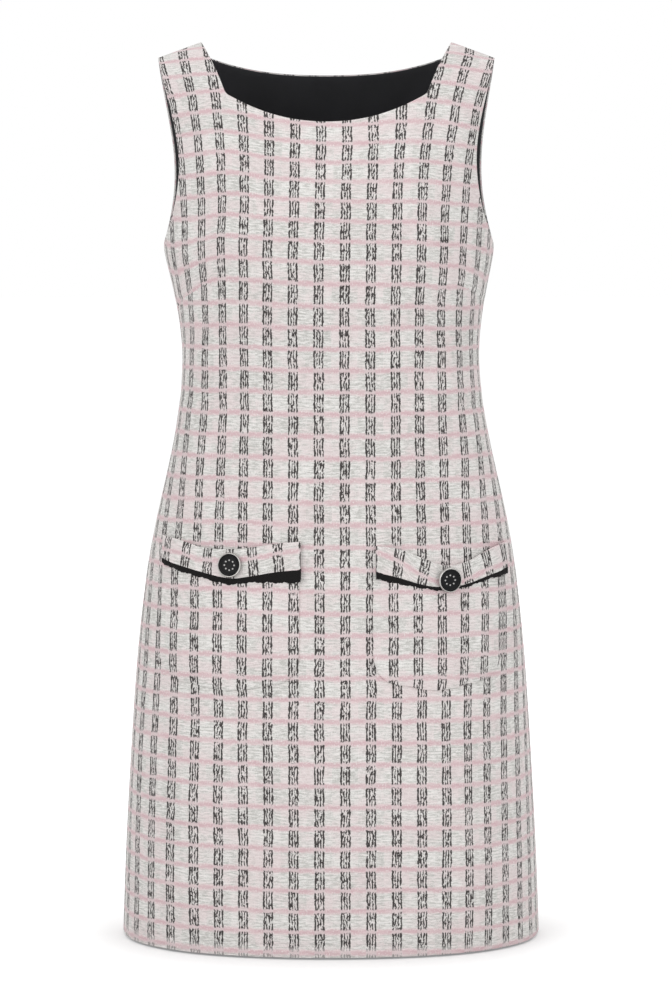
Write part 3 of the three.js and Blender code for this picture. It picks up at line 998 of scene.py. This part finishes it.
def apart(value, centre):
    return calc(t, "ABSOLUTE", calc(t, "SUBTRACT", value, centre))


up_bent = bent(bent(up, 3.4, grain(t, across, up, 30, 160)), 1.8, grain(t, across, up, 6, 5, third=3.0))
across_bent = bent(bent(across, 2.2, grain(t, across, up, 160, 26, third=7.0)), 1.2,
                   grain(t, across, up, 4, 4, third=11.0))

# Ground: fine ribs, slubs, upright threads, and a faint tint that changes from check to check.
rib = calc(t, "SINE", calc(t, "MULTIPLY", bent(up_bent, 3.0, grain(t, across, up, 14, 6, third=21.0)),
                           2 * math.pi / 3.1))
slub = grain(t, across, up, 7, 1.5, detail=3.0, third=5.0)
speck = grain(t, across, up, 1.2, 1.0, detail=2.0, third=9.0)
thread = calc(t, "SINE", calc(t, "MULTIPLY", across_bent, 2 * math.pi / 1.35))
cell = chance(t, calc(t, "DIVIDE", across_bent, STRIPE_PITCH),
              calc(t, "DIVIDE", calc(t, "SUBTRACT", up_bent, FIRST_LINE), WEFT_PITCH))
cloud = grain(t, across, up, 45, 22, third=13.0)
ground_colour = blend_colours(t, soft_step(t, bent(bent(slub, 0.10, cell), 0.35, speck), 0.30, 0.66),
                              tone(198, 197, 192), tone(248, 246, 243))
valley = calc(t, "MULTIPLY", soft_step(t, rib, 0.1, -1.0), 0.36)
ground_colour = blend_colours(t, valley, ground_colour, tone(198, 198, 194))
between = calc(t, "MULTIPLY", soft_step(t, thread, 0.0, -1.0), 0.22)
ground_colour = blend_colours(t, between, ground_colour, tone(200, 197, 195))
tint = calc(t, "MULTIPLY", soft_step(t, bent(bent(cloud, 0.12, cell), 0.3, slub), 0.40, 0.70), 0.6)
ground_colour = blend_colours(t, tint, ground_colour, tone(232, 213, 214))
ground_colour = blend_colours(t, calc(t, "MULTIPLY", soft_step(t, speck, 0.60, 0.74), 0.7),
                              ground_colour, tone(248, 246, 244))
ground_colour = blend_colours(t, calc(t, "MULTIPLY", soft_step(t, speck, 0.38, 0.28), 0.4),
                              ground_colour, tone(208, 186, 188))

# Pink weft: a soft uneven band with a stronger core.
broken = grain(t, across, up, 1.3, 1.7, detail=2.0, third=19.0)
from_weft = calc(t, "PINGPONG", calc(t, "SUBTRACT", up_bent, FIRST_LINE), WEFT_PITCH / 2)
weft_body = grain(t, across, up, 5, 1.8, third=17.0)
weft_reach = bent(from_weft, 2.6, weft_body)
weft_band = soft_step(t, weft_reach, 4.2, 1.6)
weft_core = soft_step(t, bent(weft_reach, 5.0, broken), 2.8, 0.4)
fullness = soft_step(t, grain(t, across, up, 22, 8, third=23.0), 0.25, 0.6)
cloth_colour = blend_colours(t, calc(t, "MULTIPLY", weft_band, 0.62), ground_colour, tone(232, 207, 209))
core_share = calc(t, "MULTIPLY", weft_core, calc(t, "ADD", 0.3, calc(t, "MULTIPLY", fullness, 0.45)))
cloth_colour = blend_colours(t, core_share, cloth_colour, tone(213, 178, 184))
cloth_colour = blend_colours(t, calc(t, "MULTIPLY", soft_step(t, broken, 0.56, 0.72), 0.5),
                             cloth_colour, tone(250, 246, 244))

# Black stripe: short slanting strokes both ways, denser along its two sides, broken by light flecks.
stripe_side = calc(t, "SUBTRACT", calc(t, "FLOORED_MODULO", across_bent, STRIPE_PITCH), STRIPE_PITCH / 2)
from_stripe = calc(t, "ABSOLUTE", stripe_side)


def strokes(slant, third):
    """Dark and light strokes about as wide and long as the tufts of a yarn, leaning to one side."""
    leaning = calc(t, "ADD", across_bent, calc(t, "MULTIPLY", up_bent, slant))
    return grain(t, leaning, up_bent, 1.5, 6.0, detail=1.0, third=third)


def firm_yarn(centre, half):
    return soft_step(t, apart(stripe_side, centre), half + 0.5, half - 0.5)


tufts = calc(t, "MAXIMUM", strokes(0.14, 31.0), strokes(-0.22, 37.0))
wobbly_side = bent(stripe_side, 1.5, grain(t, across, up, 2.5, 7.0, third=41.0))
strand = calc(t, "COSINE", calc(t, "MULTIPLY", calc(t, "SUBTRACT", wobbly_side, STRAND_PITCH / 2),
                                2 * math.pi / STRAND_PITCH))
firm = calc(t, "MAXIMUM", firm_yarn(LEFT_YARN, 1.0), calc(t, "MULTIPLY", firm_yarn(RIGHT_YARN, 0.85), 0.95))
yarns = calc(t, "ADD", tufts, calc(t, "MULTIPLY", firm, 0.08))
yarns = calc(t, "ADD", yarns, calc(t, "MULTIPLY", strand, 0.085))
dark = soft_step(t, bent(yarns, 0.40, broken), 0.52, 0.60)
block = soft_step(t, bent(from_weft, 4.5, broken), 0.8, 2.4)
near_hem = calc(t, "MULTIPLY", soft_step(t, up, 12.0, 8.0), given["Hem"])
dark = calc(t, "MULTIPLY", calc(t, "MULTIPLY", dark, block),
            calc(t, "SUBTRACT", 1.0, calc(t, "MULTIPLY", near_hem, 0.45)))
dark = calc(t, "MULTIPLY", dark, soft_step(t, bent(from_stripe, 1.6, broken), 5.3, 4.6))
black = blend_colours(t, soft_step(t, speck, 0.35, 0.65), tone(28, 25, 24), tone(72, 66, 65))
fleck_zone = calc(t, "MULTIPLY", soft_step(t, from_stripe, 5.6, 4.4), 0.35)
cloth_colour = blend_colours(t, fleck_zone, cloth_colour, tone(226, 222, 220))
cloth_colour = blend_colours(t, calc(t, "MULTIPLY", dark, 0.97), cloth_colour, black)

# Lift of the yarns, and the sunk stitch line of the turned hem.
lift_up = calc(t, "ADD", calc(t, "MULTIPLY", slub, 0.8), calc(t, "MULTIPLY", speck, 0.6))
lift_up = calc(t, "ADD", lift_up, calc(t, "MULTIPLY", calc(t, "ABSOLUTE", rib), 0.4))
lift_up = calc(t, "ADD", lift_up, calc(t, "MULTIPLY", dark, 0.3))
lift_up = calc(t, "ADD", lift_up, calc(t, "MULTIPLY", weft_band, 0.4))
stitch = soft_step(t, apart(up_bent, 12.5), 1.4, 0.2)
lift_up = calc(t, "SUBTRACT", lift_up, calc(t, "MULTIPLY", calc(t, "MULTIPLY", stitch, given["Hem"]), 1.2))
put(t, result["Color"], cloth_colour)
put(t, result["Height"], lift_up)
put(t, result["Roughness"], calc(t, "ADD", 0.82, calc(t, "MULTIPLY", slub, 0.15)))
print("tweed group has", len(t.nodes), "nodes")

# %% Tweed finish
def new_finish(name):
    """A new material with a Principled shader. Gives the material, its tree and the shader."""
    finish = bpy.data.materials.new(name)
    finish.use_nodes = True
    return finish, finish.node_tree, finish.node_tree.nodes["Principled BSDF"]


def use_group(tree, group, **values):
    node = tree.nodes.new("ShaderNodeGroup")
    node.node_tree = group
    for name, value in values.items():
        put(tree, node.inputs[name.replace("_", " ")], value)
    return node.outputs


def cloth_place(tree):
    node = tree.nodes.new("ShaderNodeUVMap")
    node.uv_map = "cloth"
    return node.outputs[0]


def bump(tree, shader, height, distance, strength=1.0):
    node = tree.nodes.new("ShaderNodeBump")
    node.inputs["Distance"].default_value = distance
    node.inputs["Strength"].default_value = strength
    put(tree, node.inputs["Height"], height)
    tree.links.new(node.outputs[0], shader.inputs["Normal"])


def tweed_finish(name, hem):
    finish, tree, shader = new_finish(name)
    out = use_group(tree, tweed_weave, Cloth=cloth_place(tree), Hem=hem)
    put(tree, shader.inputs["Base Color"], out["Color"])
    put(tree, shader.inputs["Roughness"], out["Roughness"])
    bump(tree, shader, out["Height"], 0.5 * MM, 0.8)
    shader.inputs["Specular IOR Level"].default_value = 0.25
    shader.inputs["Sheen Weight"].default_value = 0.12
    shader.inputs["Sheen Roughness"].default_value = 0.6
    return finish


panel_finish = tweed_finish("tweed", 1.0)
patch_finish = tweed_finish("tweed_patch", 0.0)

# %% [markdown]
# ## Satin lining, braid, buttons and their rims
# The lining is a black satin: fairly smooth, with a fine diagonal weave and slow ripples, and its black
# is painted a little lighter where the ripples rise, a painted sheen. The braid is matt and fuzzy. The
# button face is polished black with a plain ring of small pale dots, and its rim and shank are a pale,
# lightly brushed metal.

# %% Other finishes
satin_finish, tree, shader = new_finish("satin")
split = tree.nodes.new("ShaderNodeSeparateXYZ")
tree.links.new(cloth_place(tree), split.inputs[0])
s_across = calc(tree, "MULTIPLY", split.outputs[0], 1000)
s_up = calc(tree, "MULTIPLY", split.outputs[1], 1000)
ripple_and_painted_sheen = grain(tree, s_across, s_up, 26, 60)
twill = calc(tree, "SINE", calc(tree, "MULTIPLY", calc(tree, "ADD", s_across, s_up), 5.0))
thread = grain(tree, s_across, s_up, 0.8, 6, third=2.0)
# The ripples raise the satin and also paint its black lighter where they rise: a painted sheen.
put(tree, shader.inputs["Base Color"], blend_colours(tree, ripple_and_painted_sheen, tone(20, 20, 23), tone(40, 40, 44)))
put(tree, shader.inputs["Roughness"], calc(tree, "ADD", 0.38, calc(tree, "MULTIPLY", thread, 0.25)))
height = calc(tree, "ADD", calc(tree, "MULTIPLY", ripple_and_painted_sheen, 2.0), calc(tree, "MULTIPLY", twill, 0.03))
bump(tree, shader, height, 0.8 * MM, 0.6)
shader.inputs["Sheen Weight"].default_value = 0.25

braid_finish, tree, shader = new_finish("braid")
split = tree.nodes.new("ShaderNodeSeparateXYZ")
tree.links.new(cloth_place(tree), split.inputs[0])
b_along = calc(tree, "MULTIPLY", split.outputs[0], 1000)
b_up = calc(tree, "MULTIPLY", split.outputs[1], 1000)
fuzz = grain(tree, b_along, b_up, 0.9, 0.9, detail=4.0)
plait = calc(tree, "SINE", calc(tree, "MULTIPLY", calc(tree, "ADD", b_along, calc(tree, "MULTIPLY", b_up, 1.4)), 2.4))
put(tree, shader.inputs["Base Color"], blend_colours(tree, fuzz, tone(8, 8, 8), tone(34, 32, 32)))
put(tree, shader.inputs["Roughness"], calc(tree, "ADD", 0.8, calc(tree, "MULTIPLY", fuzz, 0.2)))
bump(tree, shader, calc(tree, "ADD", fuzz, calc(tree, "MULTIPLY", plait, 0.25)), 0.7 * MM, 0.9)
shader.inputs["Specular IOR Level"].default_value = 0.2


def local_place(tree, node, scale=1000):
    """Object coordinates in millimetres from the middle of a node's box."""
    low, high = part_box(node)
    coordinates = tree.nodes.new("ShaderNodeTexCoord")
    mapping = tree.nodes.new("ShaderNodeMapping")
    mapping.inputs["Location"].default_value = [-(a + b) / 2 * scale for a, b in zip(low, high)]
    mapping.inputs["Scale"].default_value = (scale, scale, scale)
    tree.links.new(coordinates.outputs["Object"], mapping.inputs["Vector"])
    split = tree.nodes.new("ShaderNodeSeparateXYZ")
    tree.links.new(mapping.outputs[0], split.inputs[0])
    return split.outputs


DOT_COUNT = 8
DOT_RING = 4.6
DOT_SIZE = 0.75


def button_face(side):
    """Polished black with a ring of small pale dots and fine handling marks."""
    finish, tree, shader = new_finish(f"button_black_{side}")
    x, _, z = local_place(tree, f"button_{side}")
    radius = calc(tree, "SQRT", calc(tree, "ADD", calc(tree, "MULTIPLY", x, x), calc(tree, "MULTIPLY", z, z)))
    angle = calc(tree, "ARCTAN2", z, x)
    sector = 2 * math.pi / DOT_COUNT
    turned = calc(tree, "PINGPONG", angle, sector / 2)
    aside = calc(tree, "MULTIPLY", calc(tree, "SINE", turned), radius)
    outward = calc(tree, "SUBTRACT", calc(tree, "MULTIPLY", calc(tree, "COSINE", turned), radius), DOT_RING)
    from_dot = calc(tree, "SQRT", calc(tree, "ADD", calc(tree, "MULTIPLY", aside, aside),
                                       calc(tree, "MULTIPLY", outward, outward)))
    dot = soft_step(tree, from_dot, DOT_SIZE + 0.15, DOT_SIZE - 0.15)
    marks = grain(tree, x, z, 2.5, 0.6, detail=3.0)
    put(tree, shader.inputs["Base Color"], blend_colours(tree, dot, tone(6, 6, 7), tone(190, 188, 186)))
    put(tree, shader.inputs["Roughness"], calc(tree, "ADD", 0.22, calc(tree, "MULTIPLY", marks, 0.14)))
    groove = soft_step(tree, calc(tree, "ABSOLUTE", calc(tree, "SUBTRACT", radius, 8.2)), 0.7, 0.1)
    bump(tree, shader, calc(tree, "SUBTRACT", calc(tree, "MULTIPLY", dot, 0.6), groove), 0.35 * MM)
    shader.inputs["Specular IOR Level"].default_value = 0.15
    return finish


def button_metal(side):
    """Pale metal with a light turned grain."""
    finish, tree, shader = new_finish(f"button_metal_{side}")
    x, _, z = local_place(tree, f"button_rim_{side}")
    angle = calc(tree, "ARCTAN2", z, x)
    turned = grain(tree, calc(tree, "MULTIPLY", angle, 14), x, 0.5, 9, detail=3.0)
    put(tree, shader.inputs["Base Color"], blend_colours(tree, turned, tone(150, 148, 146), tone(205, 202, 198)))
    put(tree, shader.inputs["Roughness"], calc(tree, "ADD", 0.22, calc(tree, "MULTIPLY", turned, 0.2)))
    shader.inputs["Metallic"].default_value = 1.0
    return finish


for side in ("right", "left"):
    for node, finish in ((f"button_{side}", button_face(side)), (f"button_rim_{side}", button_metal(side))):
        shown = nodes[node]
        shown.data.materials.clear()
        shown.data.materials.append(finish)
    print("button finishes on the", side)

# %% [markdown]
# ## Handing the pieces over
# Each piece rides on the one body, takes the place of its node, and gets its finishes in order.

# %% Ride and replace
def hand_over(piece, node, slot, *finishes):
    materials = piece.data.materials
    for index, finish in enumerate(finishes):
        if index < len(materials):
            materials[index] = finish
        else:
            materials.append(finish)
    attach(piece, "root")
    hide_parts(node)


hand_over(tweed_front, "front", "tweed", panel_finish)
hand_over(tweed_back, "back", "tweed", panel_finish, satin_finish)
for side, lining in linings.items():
    hand_over(lining, f"lining_{side}", "lining", satin_finish)
for side in ("right", "left"):
    hand_over(pockets[side], f"pocket_{side}", "tweed", patch_finish)
    hand_over(flaps[side], f"flap_{side}", "tweed", patch_finish)
    hand_over(braids[side], f"flap_trim_{side}", "trim", braid_finish)
